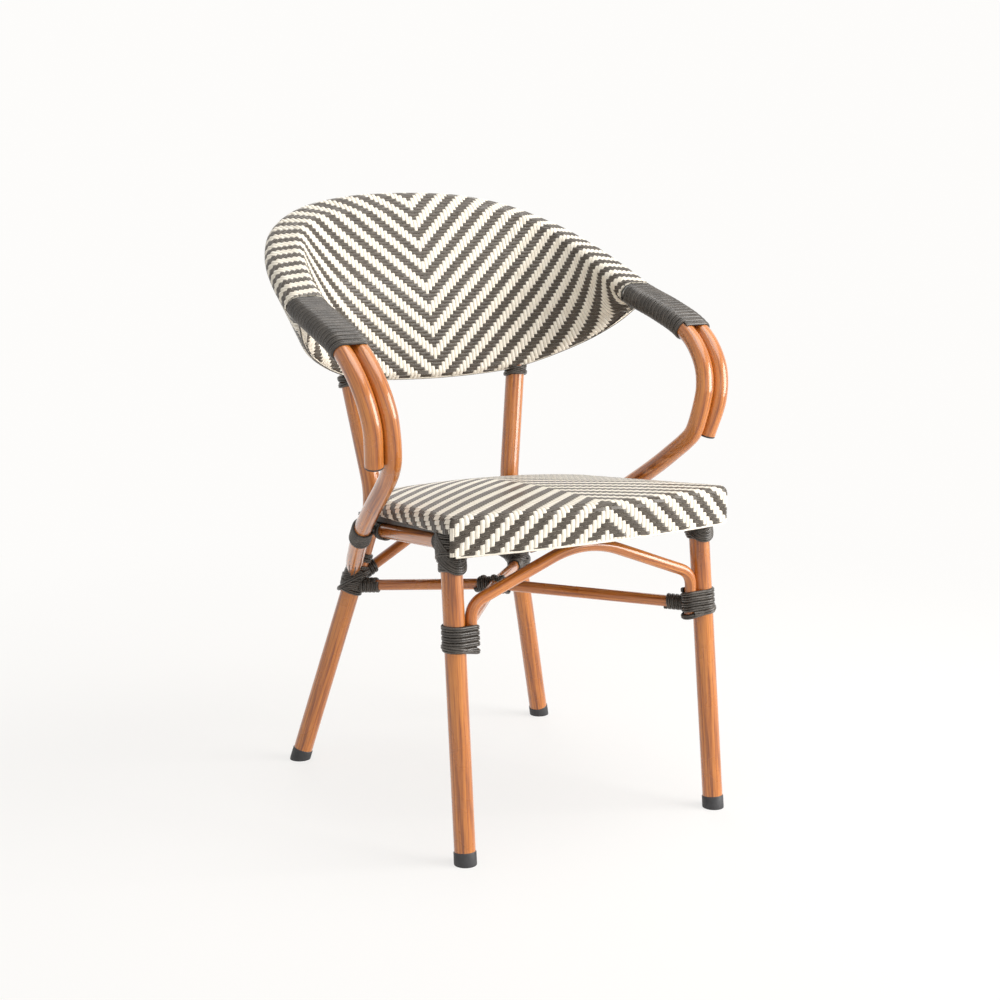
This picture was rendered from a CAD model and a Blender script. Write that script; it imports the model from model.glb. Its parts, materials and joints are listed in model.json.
import json
import math
import bmesh
import bpy
import numpy as np
from mathutils import Matrix, Vector
from mathutils.kdtree import KDTree


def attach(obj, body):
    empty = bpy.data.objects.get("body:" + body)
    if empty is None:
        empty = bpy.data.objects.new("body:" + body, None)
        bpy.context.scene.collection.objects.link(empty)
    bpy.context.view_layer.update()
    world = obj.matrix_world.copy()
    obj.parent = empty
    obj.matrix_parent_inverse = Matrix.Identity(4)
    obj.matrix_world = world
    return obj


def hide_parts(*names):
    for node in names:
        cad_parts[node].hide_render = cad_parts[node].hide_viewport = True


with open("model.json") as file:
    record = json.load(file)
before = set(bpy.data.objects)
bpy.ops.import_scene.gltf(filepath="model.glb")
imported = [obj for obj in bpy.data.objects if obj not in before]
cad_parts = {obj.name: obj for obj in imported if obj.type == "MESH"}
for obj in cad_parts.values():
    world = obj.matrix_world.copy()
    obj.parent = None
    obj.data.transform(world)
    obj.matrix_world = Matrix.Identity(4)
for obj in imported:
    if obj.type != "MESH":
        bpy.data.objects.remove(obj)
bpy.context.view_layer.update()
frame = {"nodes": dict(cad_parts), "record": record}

cadNodes = frame["nodes"]
scene = bpy.context.scene
scene.view_settings.view_transform = "Standard"
turn = 2 * math.pi
tiny = 1e-4  # a step for slopes, in metres or in shares of a line


# small helpers for lines and surfaces, in metres

def unit(vectors):
    return vectors / np.linalg.norm(vectors, axis=-1, keepdims=True)


def squareTo(direction, along):
    return unit(direction - (direction * along).sum(-1, keepdims=True) * along)


def flipX(points):
    return np.asarray(points) * [-1, 1, 1]


bothHands = (("left", flipX), ("right", np.asarray))


def bothSides(points):
    # the line from the middle outwards, with its mirror image before it
    points = np.asarray(points, float)
    return np.concatenate([flipX(points[:0:-1]), points])


def smoothLine(points, t):
    # a curve through all the points, without overshoot where they lie unevenly; t runs from 0 to 1
    points = np.asarray(points, float)
    t = np.asarray(t, float)
    ends = [2 * points[0] - points[1], 2 * points[-1] - points[-2]]
    full = np.concatenate([[ends[0]], points, [ends[1]]])
    place = np.clip(t, 0, 1) * (len(points) - 1)
    k = np.minimum(place.astype(int), len(points) - 2)
    w = (place - k)[:, None]
    a, b, c, d = full[k], full[k + 1], full[k + 2], full[k + 3]
    s0, s1, s2 = [np.sqrt(np.linalg.norm(q - p, axis=1))[:, None] for p, q in ((a, b), (b, c), (c, d))]
    m1 = ((b - a) / s0 - (c - a) / (s0 + s1) + (c - b) / s1) * s1
    m2 = ((c - b) / s1 - (d - b) / (s1 + s2) + (d - c) / s2) * s1
    return b + m1 * w + (3 * (c - b) - 2 * m1 - m2) * w ** 2 + (2 * (b - c) + m1 + m2) * w ** 3


def lengthMarks(line):
    return np.concatenate([[0], np.cumsum(np.linalg.norm(np.diff(line, axis=0), axis=1))])


def valuesAt(places, marks, values):
    # values in between those that belong to the marks, column by column
    return np.stack([np.interp(places, marks, column) for column in values.T], 1)


def evenly(line, step):
    # the same line with its points a step apart
    line = np.asarray(line, float)
    marks = lengthMarks(line)
    return valuesAt(np.linspace(0, marks[-1], max(2, int(round(marks[-1] / step)) + 1)), marks, line)


def bentLine(corners, bends, steps=14):
    # straight runs with a bend at each inner corner; a bend starts and ends that far from its corner
    corners = np.asarray(corners, float)
    line = [corners[0]]
    for k in range(1, len(corners) - 1):
        before = corners[k] + unit(corners[k - 1] - corners[k]) * bends[k - 1]
        after = corners[k] + unit(corners[k + 1] - corners[k]) * bends[k - 1]
        for w in np.linspace(0, 1, steps):
            line.append(before * (1 - w) ** 2 + corners[k] * 2 * w * (1 - w) + after * w ** 2)
    line.append(corners[-1])
    return np.array(line)


def framesAlong(line, reference):
    # a side and a lift square to the line at each point, turned no more than the line turns
    ways = unit(np.gradient(line, axis=0))
    sides = [squareTo(np.asarray(reference, float), ways[0])]
    for way in ways[1:]:
        sides.append(squareTo(sides[-1], way))
    sides = np.array(sides)
    return sides, np.cross(ways, sides)


# making pieces

def finishPiece(obj, material, replaced=(), smoothAngle=40):
    obj.data.materials.clear()
    obj.data.materials.append(material)
    obj.data.shade_smooth()
    obj.data.set_sharp_from_angle(angle=math.radians(smoothAngle))
    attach(obj, "root")
    if replaced:
        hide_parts(*replaced)
    return obj


def newObject(name, data):
    obj = bpy.data.objects.new(name, data)
    scene.collection.objects.link(obj)
    return obj


def meshFrom(bm, name):
    mesh = bpy.data.meshes.new(name)
    bm.to_mesh(mesh)
    bm.free()
    return mesh


def closeUp(bm):
    bmesh.ops.holes_fill(bm, edges=[e for e in bm.edges if e.is_boundary], sides=0)
    bmesh.ops.recalc_face_normals(bm, faces=bm.faces)


def laidGrid(name, across, along, place, uvSize):
    # a flat grid whose points are moved to where place(u, v) says, then closed up
    bm = bmesh.new()
    uvLayer = bm.loops.layers.uv.new("UVMap")
    bmesh.ops.create_grid(bm, x_segments=across, y_segments=along, size=0.5, calc_uvs=True)
    flat = np.array([v.co[:2] for v in bm.verts]) + 0.5
    for face in bm.faces:
        for loop in face.loops:
            co = loop.vert.co
            loop[uvLayer].uv = ((co.x + 0.5) * uvSize[0], (co.y + 0.5) * uvSize[1])
    for vert, spot in zip(bm.verts, place(flat[:, 0], flat[:, 1])):
        vert.co = spot
    bmesh.ops.remove_doubles(bm, verts=bm.verts, dist=1e-6)
    closeUp(bm)
    return newObject(name, meshFrom(bm, name))


def sweptPiece(name, line, sides, lifts, loop, sizes, uvAcross):
    # a closed loop of offsets to the side and up, carried along a line and scaled at each of its points
    sizes = np.broadcast_to(sizes, len(line))
    columns = len(loop) - 1

    def place(u, v):
        k = np.rint(v * (len(line) - 1)).astype(int)
        offset = loop[np.rint(u * columns).astype(int)] * sizes[k, None]
        return line[k] + sides[k] * offset[:, :1] + lifts[k] * offset[:, 1:]

    return laidGrid(name, columns, len(line) - 1, place, (uvAcross, lengthMarks(line)[-1]))


def roundPiece(name, line, radii, reference, flats):
    # a closed round bar; radii is one radius, or one for each point of the line
    line = np.asarray(line, float)
    angles = np.linspace(0, turn, flats + 1)
    ring = np.stack([np.cos(angles), np.sin(angles)], 1)
    ring[-1] = ring[0]
    return sweptPiece(name, line, *framesAlong(line, reference), ring, radii, turn * np.max(radii))


def tubePiece(name, line, radius, material, reference, replaced=(), flats=28):
    return finishPiece(roundPiece(name, line, radius, reference, flats), material, replaced)


def joined(name, parts):
    # several objects made into one
    merged = bmesh.new()
    for part in parts:
        mesh = part.data
        merged.from_mesh(mesh)
        bpy.data.objects.remove(part)
        bpy.data.meshes.remove(mesh)
    return newObject(name, meshFrom(merged, name))


def pieceName(node, hand):
    # front_foot and left give frontFootLeft
    words = node.split("_")
    return words[0] + "".join(word.capitalize() for word in words[1:]) + hand.capitalize()


# shader nodes, and effects that more than one material uses

def feed(tree, node, inputs):
    # each input gets a value, a socket, or the first output of a node
    for label, value in inputs.items():
        if isinstance(value, bpy.types.Node):
            value = value.outputs[0]
        if isinstance(value, bpy.types.NodeSocket):
            tree.links.new(value, node.inputs[label])
        else:
            node.inputs[label].default_value = value
    return node


def addNode(tree, kind, inputs=None, **settings):
    node = tree.nodes.new("ShaderNode" + kind)
    for label, value in settings.items():
        setattr(node, label, value)
    return feed(tree, node, inputs or {})


def effectGroup(name, numbers, outputs):
    group = bpy.data.node_groups.new(name, "ShaderNodeTree")
    group.interface.new_socket("Vector", in_out="INPUT", socket_type="NodeSocketVector")
    for label, value in numbers.items():
        socket = group.interface.new_socket(label, in_out="INPUT", socket_type="NodeSocketFloat")
        socket.default_value = value
    for label in outputs:
        group.interface.new_socket(label, in_out="OUTPUT", socket_type="NodeSocketFloat")
    return group, group.nodes.new("NodeGroupInput").outputs, group.nodes.new("NodeGroupOutput")


def makeGrain():
    # long streaks that run with the tube, and fine pores among them
    group, given, leave = effectGroup("tubeGrain", {"Streaks": 260.0, "Run": 9.0}, ["Streak", "Pore"])
    stretch = addNode(group, "CombineXYZ", {"X": given["Streaks"], "Y": given["Run"]})
    scaled = addNode(group, "VectorMath", {0: given["Vector"], 1: stretch}, operation="MULTIPLY")
    finer = addNode(group, "VectorMath", {0: scaled, 1: (3.2, 3.2, 3.2)}, operation="MULTIPLY")
    streak = addNode(group, "TexNoise", {
        "Vector": scaled, "Scale": 1.0, "Detail": 5.0, "Roughness": 0.62, "Distortion": 0.25})
    pore = addNode(group, "TexNoise", {"Vector": finer, "Scale": 1.0, "Detail": 3.0})
    spread = addNode(group, "MapRange", {"Value": streak, "From Min": 0.34, "From Max": 0.66})
    sharper = addNode(group, "MapRange", {"Value": pore, "From Min": 0.5, "From Max": 0.72})
    feed(group, leave, {"Streak": spread, "Pore": sharper})
    return group


def makeMottle():
    # uneven handling marks, for roughness and slight changes of shade
    group, given, leave = effectGroup("surfaceMottle", {"Scale": 40.0, "Low": 0.0, "High": 1.0}, ["Value"])
    noise = addNode(group, "TexNoise", {"Vector": given["Vector"], "Scale": given["Scale"], "Detail": 3.0})
    spread = addNode(group, "MapRange", {
        "Value": noise, "From Min": 0.35, "From Max": 0.65, "To Min": given["Low"], "To Max": given["High"]})
    feed(group, leave, {"Value": spread})
    return group


grainEffect = makeGrain()
mottleEffect = makeMottle()


def newMaterial(name, inputs):
    material = bpy.data.materials.new(name)
    material.use_nodes = True
    tree = material.node_tree
    return material, tree, feed(tree, tree.nodes["Principled BSDF"], inputs)


def colourRamp(tree, factor, stops):
    ramp = addNode(tree, "ValToRGB", {"Fac": factor})
    elements = ramp.color_ramp.elements
    while len(elements) < len(stops):
        elements.new(0.5)
    for element, (position, colour) in zip(elements, stops):
        element.position = position
        element.color = (*colour, 1)
    return ramp


def addBump(tree, shader, height, strength, distance):
    bump = addNode(tree, "Bump", {"Strength": strength, "Distance": distance, "Height": height})
    feed(tree, shader, {"Normal": bump})


woodLook = {
    "light": (0.64, 0.225, 0.036),
    "middle": (0.475, 0.142, 0.019),
    "dark": (0.235, 0.062, 0.010),
    "pore": (0.74, 0.64, 0.58, 1),  # times the colour beside it
    "roughness": (0.24, 0.36),
    "coat": 0.85,
    "coatRoughness": 0.09,
    "streaks": 300.0,
    "run": 7.0,
    "patches": 30.0,
    "bump": (0.12, 0.0003),
}


def woodMaterial():
    c = woodLook
    material, tree, shader = newMaterial("woodLookCoat", {
        "Coat Weight": c["coat"], "Coat Roughness": c["coatRoughness"]})
    uv = addNode(tree, "UVMap", uv_map="UVMap")
    grain = addNode(tree, "Group", {"Vector": uv}, node_tree=grainEffect)
    feed(tree, grain, {"Streaks": c["streaks"], "Run": c["run"]})
    streak = grain.outputs["Streak"]
    base = colourRamp(tree, streak, [(0.0, c["dark"]), (0.4, c["middle"]), (0.85, c["light"])])
    mix = addNode(tree, "Mix", data_type="RGBA", blend_type="MULTIPLY")
    feed(tree, mix, {"Factor": grain.outputs["Pore"], "A": base, "B": c["pore"]})
    low, high = c["roughness"]
    coords = addNode(tree, "TexCoord")
    mottle = addNode(tree, "Group", {"Vector": coords.outputs["Object"]}, node_tree=mottleEffect)
    feed(tree, mottle, {"Scale": c["patches"], "Low": low, "High": high})
    feed(tree, shader, {"Base Color": mix.outputs["Result"], "Roughness": mottle})
    addBump(tree, shader, streak, *c["bump"])
    return material


# patches is the scale of the changes of shade, fine that of the relief; below and above belong to roughness
strandLook = {"patches": 160.0, "fine": 900.0, "below": 0.06, "above": 0.08, "bump": (0.15, 0.0002)}
smoothLook = {"patches": 55.0, "fine": 420.0, "below": 0.05, "above": 0.10, "bump": (0.07, 0.0001)}


def shadedMaterial(name, look, light, dark, roughness, inputs):
    # two close shades in patches, with fine unevenness
    material, tree, shader = newMaterial(name, inputs)
    place = addNode(tree, "TexCoord").outputs["Object"]
    mottle = addNode(tree, "Group", {"Vector": place}, node_tree=mottleEffect)
    feed(tree, mottle, {"Scale": look["patches"]})
    fine = addNode(tree, "Group", {"Vector": place}, node_tree=mottleEffect)
    feed(tree, fine, {
        "Scale": look["fine"], "Low": roughness - look["below"], "High": roughness + look["above"]})
    colour = colourRamp(tree, mottle, [(0.0, dark), (1.0, light)])
    feed(tree, shader, {"Base Color": colour, "Roughness": fine})
    addBump(tree, shader, fine, *look["bump"])
    return material


strip = {
    "width": 0.0064,
    "widths": {"arm_wrap": 0.0087, "arm_foot_wrap": 0.0080, "front_leg_wrap": 0.0072},
    "thickness": 0.0031,
    "seat": 0.0003,  # under it, where it lies on a tube
    "domePower": 2.3,
    "groove": 0.0010,
    "grooveShare": 0.2,
    "below": (0.3, 0.12),  # corners of its underside, as shares of width and thickness
    "pointsAcross": 13,
    "pointsPerTurn": 40,
    "uvAcross": 0.0154,  # UV width of the way round a strip; four fifths of it are the top
    "ridgeStops": [(0.0, (0.25,) * 3), (0.45, (0.85,) * 3), (1.0, (1.0,) * 3)],
}


def ridgedStrip(material):
    # each strip is two reeds side by side: light along their backs, dark in the grooves
    tree = material.node_tree
    shader = tree.nodes["Principled BSDF"]
    plain = shader.inputs["Base Color"].links[0].from_socket
    ridge = strip["uvAcross"] / 5
    parts = addNode(tree, "SeparateXYZ", {"Vector": addNode(tree, "UVMap", uv_map="UVMap")})
    wave = addNode(tree, "Math", {0: parts.outputs["X"], 1: ridge}, operation="PINGPONG")
    share = addNode(tree, "MapRange", {"Value": wave, "From Max": ridge})
    mix = addNode(tree, "Mix", data_type="RGBA", blend_type="MULTIPLY")
    feed(tree, mix, {"Factor": 1.0, "A": plain, "B": colourRamp(tree, share, strip["ridgeStops"])})
    feed(tree, shader, {"Base Color": mix.outputs["Result"]})
    return material


woodCoat = woodMaterial()
ivoryStrand = shadedMaterial("ivoryStrand", strandLook, (0.89, 0.835, 0.73), (0.83, 0.765, 0.65), 0.40, {})
greyStrand = shadedMaterial("greyStrand", strandLook, (0.098, 0.081, 0.063), (0.062, 0.050, 0.038), 0.34, {
    "Specular IOR Level": 0.42})
lashingStrip = ridgedStrip(shadedMaterial(
    "lashingStrip", smoothLook, (0.110, 0.096, 0.082), (0.062, 0.054, 0.046), 0.22, {"Specular IOR Level": 0.42}))
footPlastic = shadedMaterial("footPlastic", smoothLook, (0.045, 0.045, 0.048), (0.028, 0.028, 0.030), 0.5, {})
frameCoat = shadedMaterial("frameCoat", smoothLook, (0.060, 0.056, 0.052), (0.035, 0.032, 0.030), 0.5, {})
bareTube = shadedMaterial("bareTube", smoothLook, (0.52, 0.53, 0.54), (0.42, 0.43, 0.44), 0.38, {"Metallic": 0.9})
print("materials ready")


# every CAD node gets its finish first; most are replaced further down

slotOf = {part["node"]: part["material_slot"] for part in frame["record"]["subparts"]}
slotFinish = {
    "wood_look_tube": woodCoat, "dark_strip": lashingStrip, "woven_strand": ivoryStrand,
    "dark_plastic": footPlastic, "bare_tube": bareTube, "panel_frame": frameCoat,
}
for nodeName, node in cadNodes.items():
    for materialSlot in node.material_slots:
        materialSlot.material = slotFinish[slotOf[nodeName]]


# the pair of tubes: rim of the back, and arms

rimAndArm = {
    "points": [
        (0.0000, 0.2588, 0.8080), (0.0837, 0.2560, 0.8059), (0.1566, 0.2470, 0.7969), (0.2098, 0.2140, 0.7760),
        (0.2430, 0.1591, 0.7468), (0.2600, 0.0969, 0.7160), (0.2673, 0.0331, 0.6880), (0.2700, -0.0324, 0.6690),
        (0.2700, -0.0891, 0.6490), (0.2689, -0.1240, 0.6250), (0.2649, -0.1490, 0.5919), (0.2581, -0.1570, 0.5531),
        (0.2500, -0.1451, 0.5050),
    ],
    "tilts": [54, 45, 20, 5, 0, 0, 0, 0],  # degrees from lying flat, at each point
    "tubeRadius": 0.0125,
    "offset": 0.01265,
    "weaveEnd": 5.87,  # in points, counted from the middle of the back
}


def pairAt(share):
    # middle of the two tubes and its axes, at a place counted in points from the back's middle
    share = np.atleast_1d(np.asarray(share, float))
    whole = bothSides(rimAndArm["points"])
    count = len(rimAndArm["points"]) - 1
    t = (share + count) / (2 * count)
    middle = smoothLine(whole, t)
    along = unit(smoothLine(whole, t + tiny) - smoothLine(whole, t - tiny))
    tilts = np.array(rimAndArm["tilts"], float)
    tilt = np.radians(np.interp(np.abs(share), np.arange(len(tilts)), tilts))[:, None]
    rising = unit(np.cross([0, 0, 1], along))
    outward = squareTo(np.tile([1.0, 0, 0], (len(share), 1)), along)
    level = np.where(share[:, None] < len(tilts) - 2, rising, outward)
    lift = np.cross(along, level)
    side = level * np.cos(tilt) + lift * np.sin(tilt)
    crown = lift * np.cos(tilt) - level * np.sin(tilt)
    return {
        "middle": middle, "along": along, "level": level, "side": side, "crown": crown,
        "inner": middle - side * rimAndArm["offset"], "outer": middle + side * rimAndArm["offset"],
    }


arms = {
    # the inner tube's way down from the front of the arm to the rear leg
    "foot": [
        (0.2416, -0.1530, 0.5313), (0.2375, -0.1456, 0.5070), (0.2337, -0.1341, 0.4938), (0.2294, -0.1185, 0.4804),
        (0.2237, -0.0888, 0.4576), (0.2173, -0.0551, 0.4340), (0.2100, -0.0227, 0.4122), (0.2011, 0.0112, 0.3897),
        (0.1860, 0.0573, 0.3572), (0.1656, 0.1126, 0.3175), (0.1607, 0.1250, 0.3083), (0.1565, 0.1362, 0.2996),
        (0.1542, 0.1437, 0.2928), (0.1529, 0.1484, 0.2876),
    ],
    "wrapKnot": 7,  # the one that its lashing starts at
    "start": 6.5,  # in points of rimAndArm, like the ends
    "innerEnd": 11.0,
    "outerEnd": 12.0,
    "flats": 28,
    "tipLength": 0.060,
    "tipRadius": 0.0008,
    "tipPower": 0.75,
    "away": (0.69, -0.72, 0.2),  # from the rear leg to the open side of the pointed end
    "seamFrom": 0.0015,
    "seamTo": 0.0580,
    "seamRadius": 0.0009,
    "seamSunk": 0.4,  # of its radius
    "seamAngles": (5, 48),
}


def armInnerLine():
    front = pairAt(np.arange(arms["start"], arms["innerEnd"], 0.25))["inner"]
    knots = np.concatenate([front, arms["foot"]])
    return evenly(smoothLine(knots, np.linspace(0, 1, 600)), 0.002)


def makeArm(hand, flip):
    c = arms
    line = flip(armInnerLine())
    marks = lengthMarks(line)
    toTip = marks[-1] - marks
    share = np.clip(toTip / c["tipLength"], 0, 1)
    full = rimAndArm["tubeRadius"]
    radii = c["tipRadius"] + (full - c["tipRadius"]) * (share * (2 - share)) ** c["tipPower"]
    tubePiece(pieceName("arm_tube", hand), line, radii, woodCoat, (1, 0, 0), ["arm_tube_" + hand], c["flats"])
    # two seams where the pointed end is closed, on the side away from the leg
    sides, lifts = framesAlong(line, (1, 0, 0))
    k = np.flatnonzero((toTip > c["seamFrom"]) & (toTip < c["seamTo"]))
    away = flip(unit(np.array(c["away"])))
    facing = np.arctan2(lifts[k] @ away, sides[k] @ away)
    seams = []
    for angle in c["seamAngles"]:
        around = facing + math.radians(-angle if hand == "left" else angle)
        reach = (radii[k] - c["seamRadius"] * c["seamSunk"])[:, None]
        path = line[k] + (sides[k] * np.cos(around)[:, None] + lifts[k] * np.sin(around)[:, None]) * reach
        seams.append(roundPiece("armSeam", path, c["seamRadius"], (1, 0, 0), 6))
    finishPiece(joined(pieceName("arm_seams", hand), seams), frameCoat)
    outer = flip(evenly(pairAt(np.arange(c["start"], c["outerEnd"] + 0.01, 0.05))["outer"], 0.004))
    tubePiece(pieceName("arm_outer_tube", hand), outer, full, woodCoat, (1, 0, 0), ["arm_outer_tube_" + hand])


# legs, rails, arches and braces

bars = {
    "frontLeg": {
        "corners": [(0.1984, -0.2612, 0.0122), (0.1940, -0.2165, 0.4211)],
        "bends": [], "radius": 0.0140, "node": "front_leg",
    },
    "rearLeg": {
        "corners": [(0.2090, 0.2100, 0.0118), (0.1125, 0.1475, 0.3880), (0.1410, 0.1740, 0.5800)],
        "bends": [0.045], "radius": 0.0140, "node": "rear_leg",
    },
    "sideRail": {
        "corners": [(0.1885, -0.2050, 0.4082), (0.1670, 0.0280, 0.3798), (0.1215, 0.1430, 0.3662)],
        "bends": [0.022], "radius": 0.0110, "node": "side_rail",
    },
}
crossBars = {
    "frontRail": {
        "corners": [(-0.1820, -0.2165, 0.3986), (0.1820, -0.2165, 0.3986)],
        "bends": [], "radius": 0.0110, "step": 0.006, "flats": 28, "node": "front_rail",
    },
    "rearRail": {
        "corners": [(-0.1100, 0.1513, 0.3652), (0.1100, 0.1513, 0.3652)],
        "bends": [], "radius": 0.0110, "step": 0.006, "flats": 28, "node": "rear_rail",
    },
    "frontArch": {
        "corners": [
            (-0.1733, -0.2328, 0.2720), (-0.1730, -0.2328, 0.3311), (0, -0.2325, 0.3981),
            (0.1730, -0.2328, 0.3311), (0.1733, -0.2328, 0.2720),
        ],
        "bends": [0.019, 0.057, 0.019], "radius": 0.0080, "step": 0.004, "flats": 24, "node": "front_arch",
    },
    "rearArch": {
        "corners": [(-0.1412, 0.1661, 0.2760), (0, 0.1513, 0.3640), (0.1412, 0.1661, 0.2760)],
        "bends": [0.042], "radius": 0.0080, "step": 0.004, "flats": 24, "node": "rear_arch",
    },
    "longBrace": {
        "corners": [(-0.1433, 0.1674, 0.2680), (0, -0.0020, 0.2880), (0.1955, -0.2316, 0.2830)],
        "bends": [0.02], "radius": 0.0080, "step": 0.004, "flats": 24, "node": "cross_brace_long",
    },
    "frontLeftBrace": {
        "corners": [(-0.1955, -0.2316, 0.2830), (-0.0085, -0.0120, 0.2879)],
        "bends": [], "radius": 0.0080, "step": 0.004, "flats": 24, "node": "cross_brace_front_left",
    },
    "rearRightBrace": {
        "corners": [(0.1433, 0.1674, 0.2680), (0.0075, 0.0070, 0.2870)],
        "bends": [], "radius": 0.0080, "step": 0.004, "flats": 24, "node": "cross_brace_rear_right",
    },
}


def makeBars():
    for hand, flip in bothHands:
        for name, bar in bars.items():
            line = evenly(flip(bentLine(bar["corners"], bar["bends"])), 0.006)
            replaced = [bar["node"] + "_" + hand]
            tubePiece(name + hand.capitalize(), line, bar["radius"], woodCoat, (0, 1, 0), replaced, 36)
        makeArm(hand, flip)
    for name, bar in crossBars.items():
        line = evenly(bentLine(bar["corners"], bar["bends"]), bar["step"])
        tubePiece(name, line, bar["radius"], woodCoat, (0, 0, 1), [bar["node"]], bar["flats"])


makeBars()
print("tubes ready")


# the weave: ivory strands run up the back and from the seat's rear to its front, grey ones across

twill = {
    "span": 3,  # strands that each one passes over, and then under
    "strandThickness": 0.0010,
    "strandShare": 0.97,  # width of a strand, as a share of its pitch
    "rise": 0.00052,
    "stepsPerCell": 3,
    "leastCells": 0.6,  # shorter strands are left out
    "inset": 1e-5,
    "weld": 2e-6,
}
strandSection = np.array([(-0.5, -0.5), (-0.34, 0.5), (0.34, 0.5), (0.5, -0.5), (-0.5, -0.5)])


def ivoryOnTop(column, row, sheet):
    step = row * sheet["rowWay"] - np.abs(column) + sheet["phase"]
    return np.mod(step, 2 * twill["span"]) < twill["span"]


def outlineSpan(outline, axis, values):
    # where lines of constant flat coordinate cross the outline: the least and the most of the other one
    here, after = outline, np.roll(outline, -1, axis=0)
    low = np.full(len(values), np.nan)
    high = np.full(len(values), np.nan)
    for k, value in enumerate(values):
        crossing = (here[:, axis] - value) * (after[:, axis] - value) < 0
        if crossing.any():
            a, b = here[crossing], after[crossing]
            w = (value - a[:, axis]) / (b[:, axis] - a[:, axis])
            other = a[:, 1 - axis] + (b[:, 1 - axis] - a[:, 1 - axis]) * w
            low[k], high[k] = other.min(), other.max()
    return low, high


def layStrands(name, sheet, ivory, replaced=()):
    # one bmesh grid holds all the strands of a layer side by side; the faces between them are removed.
    # Ivory ones have their middle on a whole pitch, grey ones half a pitch off.
    axis = 0 if ivory else 1
    pitch, cell = sheet["pitches"][axis], sheet["pitches"][1 - axis]
    half = 0.0 if ivory else 0.5
    outline = sheet["outline"]
    first = int(np.floor(outline[:, axis].min() / pitch - half)) + 1
    last = int(np.ceil(outline[:, axis].max() / pitch - half)) - 1
    strands = np.arange(first, last + 1)
    edge = strandSection[:, 0] * pitch * twill["strandShare"]
    low, high = outlineSpan(outline, axis, ((strands[:, None] + half) * pitch + edge[None, :]).ravel())
    usable = ~(np.isnan(low) | np.isnan(high))
    starts, ends = [np.where(usable, run, 0).reshape(len(strands), -1) for run in (low, high)]
    keep = usable.reshape(len(strands), -1).all(1) & ((ends - starts).min(1) > cell * twill["leastCells"])
    strands, starts, ends = strands[keep], starts[keep], ends[keep]
    firstCell = int(np.floor(starts.min() / cell - half))
    lastCell = int(np.ceil(ends.max() / cell + half))
    rows = (lastCell - firstCell) * twill["stepsPerCell"]
    perStrand = len(strandSection)
    columns = len(strands) * perStrand - 1

    bm = bmesh.new()
    bmesh.ops.create_grid(bm, x_segments=columns, y_segments=rows, size=0.5)
    flat = np.array([v.co[:2] for v in bm.verts]) + 0.5
    across = np.rint(flat[:, 0] * columns).astype(int)
    along = np.rint(flat[:, 1] * rows).astype(int)
    strand, column = across // perStrand, across % perStrand
    between = []
    for face in bm.faces:
        places = [across[v.index] for v in face.verts]
        if min(places) % perStrand == perStrand - 1 and max(places) % perStrand == 0:
            between.append(face)
    bmesh.ops.delete(bm, geom=between, context="FACES_ONLY")

    number = strands[strand]
    steps = along / twill["stepsPerCell"]
    above = []
    for cellIndex in (np.floor(firstCell + steps - 1e-6), np.floor(firstCell + steps + 1e-6)):
        cellIndex = cellIndex.astype(int)
        above.append(ivoryOnTop(number, cellIndex, sheet) if ivory else ~ivoryOnTop(cellIndex, number, sheet))
    rise = above[0].astype(float) + above[1] - 1
    alongPlace = (firstCell - half) * cell + steps * cell
    inset = twill["inset"]
    alongPlace = np.clip(alongPlace, starts[strand, column] + inset, ends[strand, column] - inset)
    acrossPlace = (number + half) * pitch + edge[column]
    surface, normal = sheet["lay"](np.stack([acrossPlace, alongPlace] if ivory else [alongPlace, acrossPlace], 1))
    height = rise * twill["rise"] + strandSection[column, 1] * twill["strandThickness"]
    for vert, spot in zip(bm.verts, surface + normal * height[:, None]):
        vert.co = spot
    bmesh.ops.remove_doubles(bm, verts=bm.verts, dist=twill["weld"])
    bmesh.ops.dissolve_degenerate(bm, edges=bm.edges, dist=twill["weld"])
    closeUp(bm)
    mesh = meshFrom(bm, name)
    print(name, len(strands), "strands,", sum(len(f.vertices) - 2 for f in mesh.polygons), "triangles")
    material = ivoryStrand if ivory else greyStrand
    return finishPiece(newObject(name, mesh), material, replaced, 50)


backShell = {
    "railPoints": [
        (0.0000, 0.1750, 0.5750), (0.0878, 0.1737, 0.5779), (0.1304, 0.1687, 0.5828), (0.1676, 0.1560, 0.5936),
        (0.2009, 0.1345, 0.6093), (0.2288, 0.1093, 0.6270), (0.2515, 0.0789, 0.6495), (0.2661, 0.0486, 0.6731),
    ],
    "railRadius": 0.0070,
    "stand": 0.00215,  # middle of the weave, above the tubes
    "bulge": 0.0070,
    "bulgeShare": 0.04,
    "lapDegrees": 76,  # how far the weave runs on round the lower rail
    "rimLap": 0.05,
    "level": 0.8,  # 0 has the rows parallel to the lower edge, 1 has them level
    "columnPitch": 0.00590,
    "rowPitch": 0.00540,
    "phase": 3,
    "stations": 110,
    "lapSteps": 6,
    "faceSteps": 24,
    "crownSteps": 10,
    "rimSteps": 14,
    "railSteps": 4000,
    "searchSteps": 12,
    "searchMove": 0.7,  # the longest step, in cells of the grid
}


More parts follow.
